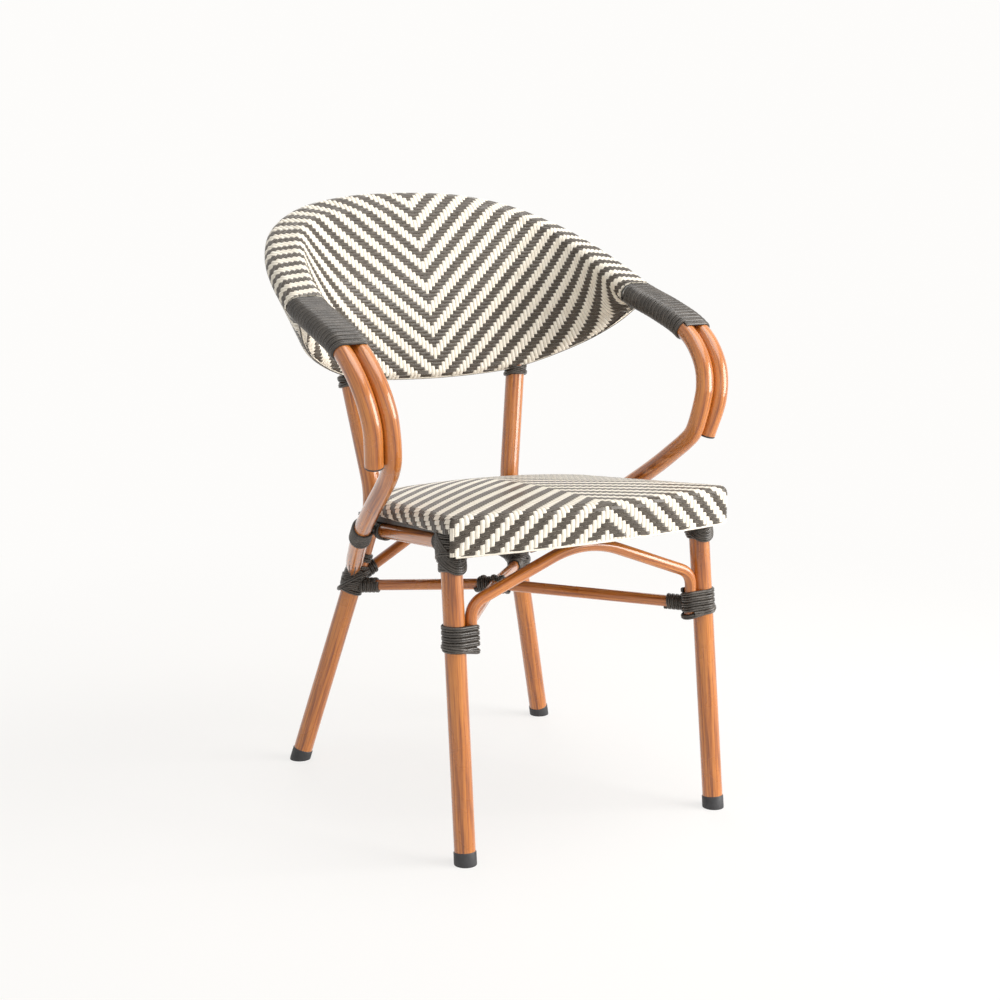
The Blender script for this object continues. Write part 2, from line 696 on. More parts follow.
def gridSheet(flat, surface, normal):
    # a sheet given as a grid: flat coordinates, places and normals at each of its points
    outline = np.concatenate([flat[:, 0], flat[-1, 1:], flat[-2::-1, -1], flat[0, -2:0:-1]])
    rows, columns = flat.shape[0] - 1, flat.shape[1] - 1

    def at(grid, i, j):
        # the value between the grid's points, and how it changes with i and with j
        i0 = np.clip(np.floor(i).astype(int), 0, rows - 1)
        j0 = np.clip(np.floor(j).astype(int), 0, columns - 1)
        a, b = (i - i0)[:, None], (j - j0)[:, None]
        g00, g10, g01, g11 = grid[i0, j0], grid[i0 + 1, j0], grid[i0, j0 + 1], grid[i0 + 1, j0 + 1]
        value = g00 * (1 - a) * (1 - b) + g10 * a * (1 - b) + g01 * (1 - a) * b + g11 * a * b
        return value, (g10 - g00) * (1 - b) + (g11 - g01) * b, (g01 - g00) * (1 - a) + (g11 - g10) * a

    tree = KDTree(flat.shape[0] * flat.shape[1])
    for index, spot in enumerate(flat.reshape(-1, 2)):
        tree.insert((spot[0], spot[1], 0), index)
    tree.balance()

    def lay(spots):
        # from the nearest point of the grid, a few steps lead to the spot's own place in it
        nearest = np.array([tree.find((x, y, 0))[1] for x, y in spots])
        i, j = (nearest // (columns + 1)).astype(float), (nearest % (columns + 1)).astype(float)
        mostMove = backShell["searchMove"]
        for step in range(backShell["searchSteps"]):
            value, di, dj = at(flat, i, j)
            miss = spots - value
            area = di[:, 0] * dj[:, 1] - di[:, 1] * dj[:, 0]
            area = np.where(np.abs(area) < 1e-12, 1e-12, area)
            moveI = (miss[:, 0] * dj[:, 1] - miss[:, 1] * dj[:, 0]) / area
            moveJ = (di[:, 0] * miss[:, 1] - di[:, 1] * miss[:, 0]) / area
            i = np.clip(i + np.clip(moveI, -mostMove, mostMove), 0, rows)
            j = np.clip(j + np.clip(moveJ, -mostMove, mostMove), 0, columns)
        return at(surface, i, j)[0], unit(at(normal, i, j)[0])

    pitches = (backShell["columnPitch"], backShell["rowPitch"])
    return {"outline": outline, "lay": lay, "rowWay": 1, "phase": backShell["phase"], "pitches": pitches}


def turned(start, end, share):
    # a direction part of the way from one to another, all of unit length
    angle = np.arccos(np.clip((start * end).sum(-1, keepdims=True), -1, 1))
    angle = np.maximum(angle, 1e-6)
    return (start * np.sin(angle * (1 - share)) + end * np.sin(angle * share)) / np.sin(angle)


def backStations():
    # for the right half: rim and lower rail at each station, and the ways that the two faces look
    shares = np.linspace(0, rimAndArm["weaveEnd"], backShell["stations"] + 1)
    pair = pairAt(shares)
    rail = smoothLine(bothSides(backShell["railPoints"]), np.linspace(0, 1, backShell["railSteps"] + 1))
    marks = lengthMarks(rail)
    at = marks[-1] * (1 + shares / rimAndArm["weaveEnd"]) / 2
    railPoint = valuesAt(at, marks, rail)
    railAlong = unit(valuesAt(at + tiny, marks, rail) - valuesAt(at - tiny, marks, rail))
    along, level = pair["along"], pair["level"]
    face = squareTo(pair["inner"] - railPoint, along)
    inward = unit(np.cross(face, along))
    inward = inward * -np.sign((inward * level).sum(1, keepdims=True))
    back = squareTo(pair["outer"] - railPoint, along)
    outward = unit(np.cross(back, along))
    outward = outward * np.sign((outward * level).sum(1, keepdims=True))
    return {
        **pair, "rail": railPoint, "railAlong": railAlong,
        "face": face, "inward": inward, "back": back, "outward": outward,
    }


def flatFromSections(sections):
    # flat coordinates: along the lower edge, and up from it; past the face's top they run on straight
    # over the rim. sections is (stations, points, 3).
    lowIndex, topIndex = backShell["lapSteps"], backShell["lapSteps"] + backShell["faceSteps"]
    lowMarks, topMarks = lengthMarks(sections[:, lowIndex]), lengthMarks(sections[:, topIndex])
    steps = np.linalg.norm(np.diff(sections, axis=1), axis=2)
    reach = np.concatenate([np.zeros((len(sections), 1)), np.cumsum(steps, axis=1)], 1)
    reach = reach - reach[:, lowIndex:lowIndex + 1]
    # the rows of strands lie between level and parallel to the lower edge
    level = backShell["level"]
    middleZ, middleReach = sections[0, lowIndex:topIndex + 1, 2], reach[0, lowIndex:topIndex + 1]
    lowLevel = np.interp(sections[:, lowIndex, 2], middleZ, middleReach)
    topLevel = np.interp(sections[:, topIndex, 2], middleZ, middleReach)
    low = np.stack([lowMarks, level * lowLevel], 1)
    top = np.stack([topMarks, (1 - level) * reach[:, topIndex] + level * topLevel], 1)
    way = unit(np.gradient(np.concatenate([top[1:2] * [-1, 1], top]), axis=0)[1:])
    outwards = np.stack([-way[:, 1], way[:, 0]], 1)
    flat = np.zeros(sections.shape[:2] + (2,))
    for k in range(sections.shape[1]):
        if k < lowIndex:
            flat[:, k] = low + reach[:, k:k + 1] * [0, 1]
        elif k <= topIndex:
            flat[:, k] = low + (top - low) * (reach[:, k] / reach[:, topIndex])[:, None]
        else:
            flat[:, k] = top + outwards * (reach[:, k] - reach[:, topIndex])[:, None]
    return flat


def wholeSheet(rows, ups):
    # the sheet of both halves, from the rows of places and of normals of the right one
    sections, normals = np.stack(rows, 1), np.stack(ups, 1)
    flat = flatFromSections(sections)
    sections = np.concatenate([flipX(sections[:0:-1]), sections])
    normals = np.concatenate([flipX(normals[:0:-1]), normals])
    return gridSheet(np.concatenate([flat[:0:-1] * [-1, 1], flat]), sections, normals)


def faceRows(at, start, faceUp, high, highWay, bulge):
    # from under the lower rail up to where the face leaves it, and on up to the rim
    c = backShell
    reach = c["railRadius"] + c["stand"]
    rows, ups = [], []
    for k in range(c["lapSteps"], -1, -1):
        angle = math.radians(c["lapDegrees"]) * k / c["lapSteps"]
        way = start * math.cos(angle) - faceUp * math.sin(angle)
        rows.append(at["rail"] + way * reach)
        ups.append(way)
    low = at["rail"] + start * reach
    for k in range(1, c["faceSteps"] + 1):
        w = k / c["faceSteps"]
        rows.append(low + (high - low) * w + highWay * bulge(low) * math.sin(math.pi * w))
        ups.append(unit(start * (1 - w) + highWay * w))
    return rows, ups


def backSheets():
    c = backShell
    at = backStations()
    rimReach = rimAndArm["tubeRadius"] + c["stand"]
    inwardLow = squareTo(at["inward"], at["railAlong"])
    high = at["inner"] + at["inward"] * rimReach

    def innerBulge(low):
        return np.minimum(c["bulge"], np.linalg.norm(high - low, axis=1, keepdims=True) * c["bulgeShare"])

    rows, ups = faceRows(
        at, inwardLow, squareTo(at["face"], at["railAlong"]), high, at["inward"], innerBulge)
    # the inner sheet runs on over the crown of the pair of tubes
    last = turned(at["outward"], at["crown"], c["rimLap"])
    for k in range(1, c["crownSteps"] + 1):
        ups.append(turned(at["inward"], at["crown"], k / c["crownSteps"]))
        rows.append(at["inner"] + ups[-1] * rimReach)
    for k in range(c["rimSteps"] + 1):
        ups.append(turned(at["crown"], last, k / c["rimSteps"]))
        rows.append(at["outer"] + ups[-1] * rimReach)
    inner = wholeSheet(rows, ups)

    outwardLow = squareTo(at["outward"], at["railAlong"])
    high = at["outer"] + at["outward"] * rimReach
    backUp = squareTo(at["back"], at["railAlong"])
    return inner, wholeSheet(*faceRows(at, outwardLow, backUp, high, at["outward"], lambda low: 0.0))


def makeBackWeave():
    inner, outer = backSheets()
    for name, sheet, node in (("backInner", inner, "back_weave_inner"), ("backOuter", outer, "back_weave_outer")):
        layStrands(name + "Ivory", sheet, True, [node])
        layStrands(name + "Grey", sheet, False)


makeBackWeave()
print("back weave ready")


seatShape = {
    "height": 0.4525,
    "fall": 0.092,  # drop for each metre towards the back
    "halfWidth": 0.218,
    "front": -0.25903,
    "bow": 0.024,
    "bowHalf": 0.207,
    "cornerY": -0.24803,
    "rearHalfWidth": 0.184,
    "turnY": 0.01597,
    "rearReach": 0.126,
    "crown": 0.011,
    "middleY": -0.02403,
    "roll": 0.012,
    "sunk": 0.0012,  # middle of the weave, under the outside
    "frontDepth": 0.051,
    "sideDepth": 0.023,
    "hem": 0.0014,
    "hemDrop": 0.7,  # of its radius
    "columnPitch": 0.00640,
    "rowPitch": 0.00523,
    "phase": 5,
    "beyondCorner": (0.23, 0.02),  # how far out and forward the edges are drawn, to find where they cross
    "frontSteps": 400,
    "sideSteps": 500,
    "rearSteps": 260,
}


def seatEdges():
    # the line where the top starts to turn down: its front, from the middle to the corner, and then its
    # side and rear, from that corner to the middle of the back. Each is points and outward directions.
    c = seatShape
    reachX, reachY = c["beyondCorner"]
    x = np.linspace(0, reachX, c["frontSteps"])
    front = np.stack([x, c["front"] - c["bow"] * (1 - (x / c["bowHalf"]) ** 2)], 1)
    away = unit(np.stack([2 * c["bow"] * x / c["bowHalf"] ** 2, -np.ones_like(x)], 1))
    front = front - away * c["roll"]
    y = np.linspace(c["cornerY"] - reachY, c["turnY"], c["sideSteps"])
    lean = (c["rearHalfWidth"] - c["halfWidth"]) / (c["turnY"] - c["cornerY"])
    side = np.stack([c["halfWidth"] + lean * (y - c["cornerY"]), y], 1)
    sideAway = np.repeat(unit(np.array([[1, -lean]])), len(y), axis=0)
    angles = np.linspace(0, turn / 4, c["rearSteps"])[1:]
    rear = np.stack([c["rearHalfWidth"] * np.cos(angles), c["turnY"] + c["rearReach"] * np.sin(angles)], 1)
    rearAway = unit(np.stack([np.cos(angles) / c["rearHalfWidth"], np.sin(angles) / c["rearReach"]], 1))
    rest = np.concatenate([side - sideAway * c["roll"], rear - rearAway * c["roll"]])
    restAway = np.concatenate([sideAway, rearAway])
    sideLine = np.interp(front[:, 1], rest[:c["sideSteps"], 1], rest[:c["sideSteps"], 0])
    corner = int(np.argmax(front[:, 0] > sideLine))
    kept = rest[:, 1] > front[corner, 1]
    rest = np.concatenate([front[corner:corner + 1], rest[kept]])
    restAway = np.concatenate([restAway[kept][:1], restAway[kept]])
    return front[:corner + 1], away[:corner + 1], rest, restAway


def seatSheet():
    c = seatShape
    front, frontAway, rest, restAway = seatEdges()
    corner = front[-1]
    radius = c["roll"] - c["sunk"]
    rollLength = radius * turn / 4
    frontReach = rollLength + c["frontDepth"] - c["roll"]
    sideReach = rollLength + c["sideDepth"] - c["roll"]
    frontAngle = math.atan2(frontAway[-1, 1], frontAway[-1, 0])
    sideAngle = math.atan2(restAway[0, 1], restAway[0, 0])
    seamAngle = (frontAngle + sideAngle) / 2
    wrap = (sideAngle - frontAngle) / 2 * radius
    lean = math.tan(sideAngle)
    low = front - [0, frontReach]
    half = np.concatenate([
        low,
        [corner + [wrap, -frontReach], corner + [wrap, -wrap],
         corner + [sideReach, sideReach * lean - wrap * (1 + lean)]],
        rest + restAway * sideReach,
    ])
    ringFrom = np.concatenate([front, rest[1:]]) - [0, c["middleY"]]
    ringAngle = np.arctan2(ringFrom[:, 1], ringFrom[:, 0])
    ringReach = np.linalg.norm(ringFrom, axis=1)

    def topHeight(spots):
        fromMiddle = spots - [0, c["middleY"]]
        angle = np.arctan2(fromMiddle[:, 1], fromMiddle[:, 0])
        share = np.linalg.norm(fromMiddle, axis=1) / np.interp(angle, ringAngle, ringReach)
        crown = c["crown"] * np.clip(1 - share ** 2, 0, 1)
        return c["height"] - c["fall"] * (spots[:, 1] - c["front"]) + crown

    def lay(spots):
        mirrored = spots[:, 0] < 0
        spot = np.abs(spots) * [1, 0] + spots * [0, 1]
        base, away, beyond = spot.copy(), np.tile([0.0, -1.0], (len(spot), 1)), np.zeros(len(spot))
        # beyond the side and the rear: straight out from the nearest point of the edge
        nearest = np.concatenate([
            np.linalg.norm(part[:, None] - rest[None], axis=2).argmin(1) for part in np.array_split(spot, 40)
        ])
        out = ((spot - rest[nearest]) * restAway[nearest]).sum(1)
        outside = out > 0
        base[outside] = spot[outside] - restAway[nearest[outside]] * out[outside, None]
        away[outside] = restAway[nearest[outside]]
        beyond[outside] = out[outside]
        # beyond the front: each strand runs on over the edge where it meets it
        edgeY = np.interp(spot[:, 0], front[:, 0], front[:, 1])
        ahead = (spot[:, 0] <= corner[0]) & (spot[:, 1] < edgeY)
        base[ahead, 1] = edgeY[ahead]
        away[ahead] = unit(valuesAt(spot[ahead, 0], front[:, 0], frontAway))
        beyond[ahead] = (edgeY - spot[:, 1])[ahead]
        # round the corner: the strands of both sides meet at a seam half-way round it
        dx, dy = spot[:, 0] - corner[0], corner[1] - spot[:, 1]
        rounding = (dx > 0) & (dy + dx * lean > 0)
        onFront = rounding & (dx < dy)
        shareFront = dx / np.maximum(np.minimum(dy, wrap), 1e-6)
        shareSide = (dy + dx * lean) / np.maximum(np.minimum(dx, wrap), 1e-6) / (1 + lean)
        angle = np.where(onFront, frontAngle + (seamAngle - frontAngle) * np.clip(shareFront, 0, 1),
                         sideAngle + (seamAngle - sideAngle) * np.clip(shareSide, 0, 1))
        base[rounding] = corner
        away[rounding] = np.stack([np.cos(angle), np.sin(angle)], 1)[rounding]
        beyond[rounding] = np.where(onFront, dy, dx)[rounding]

        bend = np.clip(beyond / radius, 0, turn / 4)
        flat = base + away * (radius * np.sin(bend))[:, None]
        drop = radius * (1 - np.cos(bend)) + np.maximum(beyond - rollLength, 0) + c["sunk"]
        slopeX = (topHeight(base + [tiny, 0]) - topHeight(base - [tiny, 0])) / tiny / 2
        slopeY = (topHeight(base + [0, tiny]) - topHeight(base - [0, tiny])) / tiny / 2
        up = unit(np.stack([-slopeX, -slopeY, np.ones_like(slopeX)], 1))
        side = np.concatenate([away, np.zeros((len(away), 1))], 1)
        normal = unit(up * np.cos(bend)[:, None] + side * np.sin(bend)[:, None])
        height = topHeight(base) - c["fall"] * (flat[:, 1] - base[:, 1]) - drop
        place = np.stack([flat[:, 0], flat[:, 1], height], 1)
        sign = np.where(mirrored, -1.0, 1.0)[:, None] * [1, 0, 0] + [0, 1, 1]
        return place * sign, normal * sign

    return {
        "outline": np.concatenate([half, half[-2:0:-1] * [-1, 1]]),
        "lowEdge": np.concatenate([low[:0:-1] * [-1, 1], low]),
        "lay": lay, "rowWay": -1, "phase": c["phase"], "pitches": (c["columnPitch"], c["rowPitch"]),
    }


def makeSeatWeave():
    sheet = seatSheet()
    layStrands("seatIvory", sheet, True, ["seat_weave"])
    layStrands("seatGrey", sheet, False)
    # a thin strand along the lower edge of the front, where the others turn back
    hem = seatShape["hem"]
    edge = evenly(sheet["lay"](sheet["lowEdge"])[0] - [0, 0, hem * seatShape["hemDrop"]], 0.004)
    tubePiece("seatHem", edge, hem, ivoryStrand, (0, 0, 1), [], 10)


makeSeatWeave()
print("seat weave ready")


# lashings: strips wound round the tubes, and bands that cross over the joints

def stripLoop(width):
    # a low dome with a groove along its middle, closed a little under the surface that it lies on
    thickness = strip["thickness"]
    across = np.linspace(-1, 1, strip["pointsAcross"])
    dome = thickness * np.sqrt(1 - np.abs(across) ** strip["domePower"])
    groove = strip["groove"] * np.clip(1 - np.abs(across) / strip["grooveShare"], 0, 1)
    top = np.stack([across * width / 2, dome - groove], 1)
    x, z = strip["below"]
    below = np.array([(x * width, -thickness * z), (-x * width, -thickness * z)])
    return np.concatenate([top, below, top[:1]])


def stripPiece(name, hand, runs, width, replaced):
    # runs are (points, outward directions, closed) for the right side; all of them become one piece
    parts = []
    for points, outwards, closed in runs:
        if hand == "left":
            points, outwards = flipX(points), flipX(outwards)
        if closed:
            around = np.concatenate([points[-1:], points, points[:1]])
            ways = unit(around[2:] - around[:-2])
            points, outwards, ways = [np.concatenate([rows, rows[:1]]) for rows in (points, outwards, ways)]
        else:
            ways = unit(np.gradient(points, axis=0))
        ups = squareTo(outwards, ways)
        loop = stripLoop(width)
        parts.append(sweptPiece(name + "Part", points, np.cross(ways, ups), ups, loop, 1.0, strip["uvAcross"]))
    return finishPiece(joined(name, parts), lashingStrip, replaced, 60)


def alongLine(line, sides):
    # gives places, sides and lifts at distances along a line
    marks = lengthMarks(line)

    def at(distance):
        points = valuesAt(distance, marks, line)
        before = valuesAt(distance - 0.001, marks, line)
        after = valuesAt(distance + 0.001, marks, line)
        before[distance < 0.001] = line[0]
        after[distance > marks[-1] - 0.001] = line[-1]
        ways = unit(after - before)
        side = squareTo(valuesAt(distance, marks, sides), ways)
        return points, side, np.cross(ways, side)

    return at


def woundRun(at, circles, start, pitch, turns, lead):
    # a strip pulled tight round the circles, which stand for the tubes that it ties together
    count = int(strip["pointsPerTurn"] * turns)
    angles = np.linspace(lead * turn, (lead + turns) * turn, count + 1)
    points, sides, lifts = at(start + pitch * (angles - lead * turn) / turn)
    around = np.stack([np.cos(angles), np.sin(angles)], 1)
    circles = np.array(circles)
    chosen = circles[(around @ circles[:, :2].T + circles[:, 2]).argmax(1)]
    offset = chosen[:, :2] + around * (chosen[:, 2:] + strip["seat"])
    path = points + sides * offset[:, :1] + lifts * offset[:, 1:]
    outwards = sides * around[:, :1] + lifts * around[:, 1:]
    marks = lengthMarks(path)
    even = np.linspace(0, marks[-1], count + 1)
    return valuesAt(even, marks, path), unit(valuesAt(even, marks, outwards)), False


def hullOf(points):
    # the convex outline of flat points, counter-clockwise
    order = points[np.lexsort((points[:, 1], points[:, 0]))]
    halves = []
    for line in (order, order[::-1]):
        half = []
        for spot in line:
            while len(half) > 1 and np.cross(half[-1] - half[-2], spot - half[-2]) <= 0:
                half.pop()
            half.append(spot)
        halves += half[:-1]
    return np.array(halves)


# straight runs of tube that the lashings lie on: start, end, radius
tubes = {
    "frontLeg": ((0.1985, -0.26253, 0), (0.1940, -0.2165, 0.4211), 0.0140),
    "rearLeg": ((0.2120, 0.21197, 0), (0.1125, 0.1475, 0.3880), 0.0140),
    "rearLegTop": ((0.1125, 0.1475, 0.3880), (0.1410, 0.1740, 0.5800), 0.0140),
    "legBendLow": ((0.1231, 0.1543, 0.3450), (0.1192, 0.1523, 0.3650), 0.0142),
    "legBendHigh": ((0.1192, 0.1523, 0.3650), (0.1178, 0.1524, 0.3850), 0.0142),
    "sideRail": ((0.1885, -0.2050, 0.4082), (0.1670, 0.0280, 0.3798), 0.0110),
    "sideRailRear": ((0.1215, 0.1430, 0.3662), (0.1670, 0.0280, 0.3798), 0.0110),
    "rearRail": ((0, 0.1513, 0.3652), (0.1100, 0.1513, 0.3652), 0.0110),
    "rearRailEnd": ((0.1090, 0.1513, 0.3652), (0, 0.1513, 0.3652), 0.0110),
    "frontRail": ((0.1820, -0.2165, 0.3986), (0, -0.2165, 0.3986), 0.0110),
    "braceRear": ((0.1433, 0.1674, 0.2680), (0, -0.0020, 0.2880), 0.0080),
    "braceFront": ((0.1955, -0.2316, 0.2830), (0, -0.0020, 0.2880), 0.0080),
    "rearArch": ((0.1412, 0.1661, 0.2760), (0, 0.1513, 0.3640), 0.0080),
    "archFoot": ((0.1733, -0.2328, 0.2720), (0.1730, -0.2328, 0.3150), 0.0080),
    "middleFront": ((0, -0.002, 0.288), (0.1955, -0.2316, 0.2830), 0.0082),
    "middleRear": ((0, -0.002, 0.288), (-0.1433, 0.1674, 0.2680), 0.0082),
}


def tubeAxis(name):
    start, end, radius = tubes[name]
    start, end = np.array(start, float), np.array(end, float)
    return start, unit(end - start), np.linalg.norm(end - start), radius


bandShape = {
    "step": 0.0022,
    "flats": 48,
    "leastSlant": 0.12,  # of a tube to the band's plane; flatter ones aren't taken in
    "near": 0.0022,
    "flatShare": 0.75,
}


def bandRun(middle, normal, names, lift):
    # a closed band in a tilted plane, pulled tight round the tubes that cross it
    c = bandShape
    middle, normal = np.asarray(middle, float), unit(np.asarray(normal, float))
    across = squareTo(np.array([1.0, 0.2, 0.1]), normal)
    up = np.cross(normal, across)
    angles = np.linspace(0, turn, c["flats"] + 1)[:-1, None]
    flat = []
    for name in names:
        start, way, length, radius = tubeAxis(name)
        slant = way @ normal
        if abs(slant) < c["leastSlant"]:
            continue
        centre = start + way * np.clip((middle - start) @ normal / slant, 0, length)
        a = squareTo(np.array([0.3, 0.5, 0.8]), way)
        b = np.cross(way, a)
        ring = centre + (a * np.cos(angles) + b * np.sin(angles)) * (radius + strip["seat"] + lift)
        ring = ring - way * (((ring - middle) @ normal) / slant)[:, None]
        flat.append(np.stack([(ring - middle) @ across, (ring - middle) @ up], 1))
    hull = hullOf(np.concatenate(flat))
    loop = evenly(np.concatenate([hull, hull[:1]]), c["step"])[:-1]
    ahead = np.roll(loop, -1, axis=0) - np.roll(loop, 1, axis=0)
    outFlat = unit(np.stack([ahead[:, 1], -ahead[:, 0]], 1))
    points = middle + loop[:, :1] * across + loop[:, 1:] * up
    outwards = outFlat[:, :1] * across + outFlat[:, 1:] * up
    # where a tube lies right under the band, the band lies flat on it
    for name in names:
        start, way, length, radius = tubeAxis(name)
        away = points - start - np.clip((points - start) @ way, 0, length)[:, None] * way
        distance = np.linalg.norm(away, axis=1)
        close = distance < radius + lift + c["near"]
        flatWay = away[close] / distance[close, None]
        outwards[close] = unit(flatWay * c["flatShare"] + outwards[close] * (1 - c["flatShare"]))
    smooth = (np.roll(outwards, 1, axis=0) + outwards * 2 + np.roll(outwards, -1, axis=0)) / 4
    return points, unit(smooth), True


# windings on the right side, by the CAD node that they stand for: tube, start along it, rise of each turn,
# turns, place round the tube where it starts, and circles beside the tube that it takes in too
windings = {
    "front_leg_wrap": [
        ("frontLeg", 0.2760, 0.0069, 4.7, 0.72, [(-0.0223, 0, 0.0080), (-0.0223, -0.003, 0.0080)]),
    ],
    "front_leg_top_wrap": [("frontLeg", 0.3785, 0.0064, 7.1, 0.1, [])],
    "side_rail_wrap": [("sideRail", 0.0005, 0.0064, 4.4, 0.4, []), ("sideRail", 0.2140, 0.0064, 2.6, 0.2, [])],
    "rear_joint_wrap": [
        ("rearLeg", 0.2700, 0.0066, 6.8, 0.3, []), ("rearLeg", 0.3210, 0.0066, 1.7, 0.2, []),
        ("sideRailRear", 0.0080, 0.0066, 8.3, 0.2, []), ("rearRailEnd", 0.0040, 0.0066, 4.3, 0.2, []),
    ],
    "rear_arch_wrap": [("rearArch", 0.0150, 0.0060, 4.2, 0.2, [])],
    "brace_wrap_rear": [("braceRear", 0.0150, 0.0060, 4.6, 0.5, [])],
    "brace_wrap_front": [("braceFront", 0.0210, 0.0058, 5.2, 0.1, [])],
}
# the others: distance from where the weave ends, from the knot, from the crossing or from the leg's top,
# rise of each turn, turns and place round the tubes
freeWindings = {
    "arm_wrap": (0.0026, 0.0087, 16.7, 0.62),
    "arm_foot_wrap": (0.0010, 0.0081, 5.3, 0.4),
    "centre_wrap": (-0.0270, 0.0062, 8.0, 0.3),
    "upright_collar": (-0.0190, 0.0066, 2.1, 0.2),
}
# bands over them: a point of the plane, its normal, the tubes inside, and the lift over these
bands = {
    "front_leg_wrap": [((0.186, -0.2325, 0.2745), (-0.22, 0.05, 1), ["frontLeg", "archFoot"], 0.0012)],
    "front_leg_top_wrap": [
        ((0.1945, -0.2210, 0.3783), (0, 0.1, 1), ["frontLeg"], 0.0003),
        ((0.1945, -0.2185, 0.4130), (0.12, 1.15, -1), ["frontLeg", "sideRail"], 0.0014),
        ((0.1945, -0.2185, 0.4070), (0.12, 1.15, -1), ["frontLeg", "sideRail"], 0.0018),
        ((0.1945, -0.2185, 0.4010), (0.12, 1.05, -1), ["frontLeg", "sideRail"], 0.0020),
        ((0.1945, -0.2185, 0.3955), (0.12, 0.92, -1), ["frontLeg", "sideRail"], 0.0024),
        ((0.1945, -0.2185, 0.3905), (0.12, 0.76, -1), ["frontLeg", "sideRail"], 0.0026),
        ((0.1945, -0.2185, 0.3910), (0.30, -0.42, -1), ["frontLeg"], 0.0030),
        ((0.1945, -0.2185, 0.3860), (0.30, -0.30, -1), ["frontLeg"], 0.0016),
    ],
    "side_rail_wrap": [
        ((0.1885, -0.2000, 0.4060), (0.1, 1, 0.55), ["sideRail", "frontRail"], 0.0010),
        ((0.1885, -0.1985, 0.4060), (0.1, 1, -0.45), ["sideRail", "frontRail"], 0.0018),
    ],
    "rear_joint_wrap": [
        ((0.1420, 0.1650, 0.2760), (0.42, -0.378, 1), ["rearLeg"], 0.0010),
        ((0.1420, 0.1650, 0.2825), (0.46, -0.414, 1), ["rearLeg"], 0.0016),
        ((0.1420, 0.1650, 0.2880), (0.50, -0.45, 1), ["rearLeg"], 0.0002),
        ((0.1420, 0.1650, 0.2790), (-0.26, 0.13, 1), ["rearLeg"], 0.0012),
        ((0.1420, 0.1650, 0.2830), (-0.36, 0.18, 1), ["rearLeg"], 0.0022),
        ((0.1420, 0.1650, 0.2885), (-0.42, 0.21, 1), ["rearLeg"], 0.0004),
        ((0.1390, 0.1640, 0.2780), (0.35, 0.55, 1), ["rearLeg"], 0.0030),
        ((0.1190, 0.1523, 0.3560), (0.28, 0.1, 1), ["legBendLow"], 0.0),
        ((0.1190, 0.1523, 0.3620), (-0.25, 0.1, 1), ["legBendLow"], 0.0008),
        ((0.1190, 0.1523, 0.3680), (0.22, 0.1, 1), ["legBendHigh"], 0.0004),
        ((0.1190, 0.1523, 0.3735), (-0.20, 0.1, 1), ["legBendHigh"], 0.0012),
        ((0.0960, 0.1513, 0.3652), (1, 0.2, 0.45), ["rearRail"], 0.0022),
        ((0.0960, 0.1513, 0.3652), (1, 0.2, -0.40), ["rearRail"], 0.0026),
    ],
    "upright_collar": [
        ((0.1385, 0.1715, 0.5690), (0.4, 0.25, 1), ["rearLegTop"], 0.0012),
        ((0.1385, 0.1715, 0.5690), (-0.35, 0.25, 1), ["rearLegTop"], 0.0004),
    ],
    "centre_wrap": [
        ((-0.008, 0.00736, 0.288), (0.648, -0.761, 0.75), ["middleRear"], 0.0016),
        ((0.003, -0.00551, 0.288), (0.648, -0.761, 0.70), ["middleFront"], 0.0019),
        ((0.009, -0.01253, 0.288), (0.648, -0.761, 0.60), ["middleFront"], 0.0014),
        ((0.002, -0.00434, 0.288), (0.648, -0.761, -0.75), ["middleFront"], 0.0024),
    ],
}


def windingOn(name, start, pitch, turns, lead, beside):
    begin, way, length, radius = tubeAxis(name)
    line = evenly([begin, begin + way * length], 0.01)
    side = [1.0, 0, 0] if abs(way[0]) < 0.75 else [0, 0, 1.0]
    at = alongLine(line, np.tile(side, (len(line), 1)))
    return woundRun(at, [(0, 0, radius), *beside], start, pitch, turns, lead)


def armRuns():
    # round both tubes, from the end of the weave on, and round the inner one beside the seat
    shares = np.arange(5.5, 10, 0.02)
    pair = pairAt(shares)
    weaveEnd = np.interp(rimAndArm["weaveEnd"], shares, lengthMarks(pair["middle"]))
    offset, radius = rimAndArm["offset"], rimAndArm["tubeRadius"]
    gap, *rest = freeWindings["arm_wrap"]
    at = alongLine(pair["middle"], pair["side"])
    upper = woundRun(at, [(-offset, 0, radius), (offset, 0, radius)], weaveEnd + gap, *rest)
    line = armInnerLine()
    knot = int(np.argmin(np.linalg.norm(line - np.array(arms["foot"][arms["wrapKnot"]]), axis=1)))
    at = alongLine(line, np.tile([1.0, 0, 0], (len(line), 1)))
    gap, *rest = freeWindings["arm_foot_wrap"]
    lower = woundRun(at, [(0, 0, radius)], lengthMarks(line)[knot] + gap, *rest)
    return {"arm_wrap": [upper]}, {"arm_foot_wrap": [lower]}


def makeLashings():
    upper, lower = armRuns()
    joints = {}
    for node, rows in windings.items():
        joints[node] = [windingOn(*row) for row in rows] + [bandRun(*band) for band in bands.get(node, [])]
    for hand in ("left", "right"):
        for node, runs in {**upper, **joints, **lower}.items():
            width = strip["widths"].get(node, strip["width"])
            stripPiece(pieceName(node, hand), hand, runs, width, [node + "_" + hand])
    # where the braces cross
    brace = evenly(bentLine(crossBars["longBrace"]["corners"], crossBars["longBrace"]["bends"]), 0.004)
    at = alongLine(brace, np.tile([0, 0, 1.0], (len(brace), 1)))
    middle = lengthMarks(brace)[int(np.argmin(np.abs(brace[:, 0])))]
    radius = crossBars["longBrace"]["radius"]
    gap, *rest = freeWindings["centre_wrap"]
    runs = [woundRun(at, [(0, 0, radius), (0, radius / 2, radius)], middle + gap, *rest)]
    runs += [bandRun(*band) for band in bands["centre_wrap"]]
    stripPiece("centreWrap", "", runs, strip["width"], ["centre_wrap"])


makeLashings()
print("lashings ready")


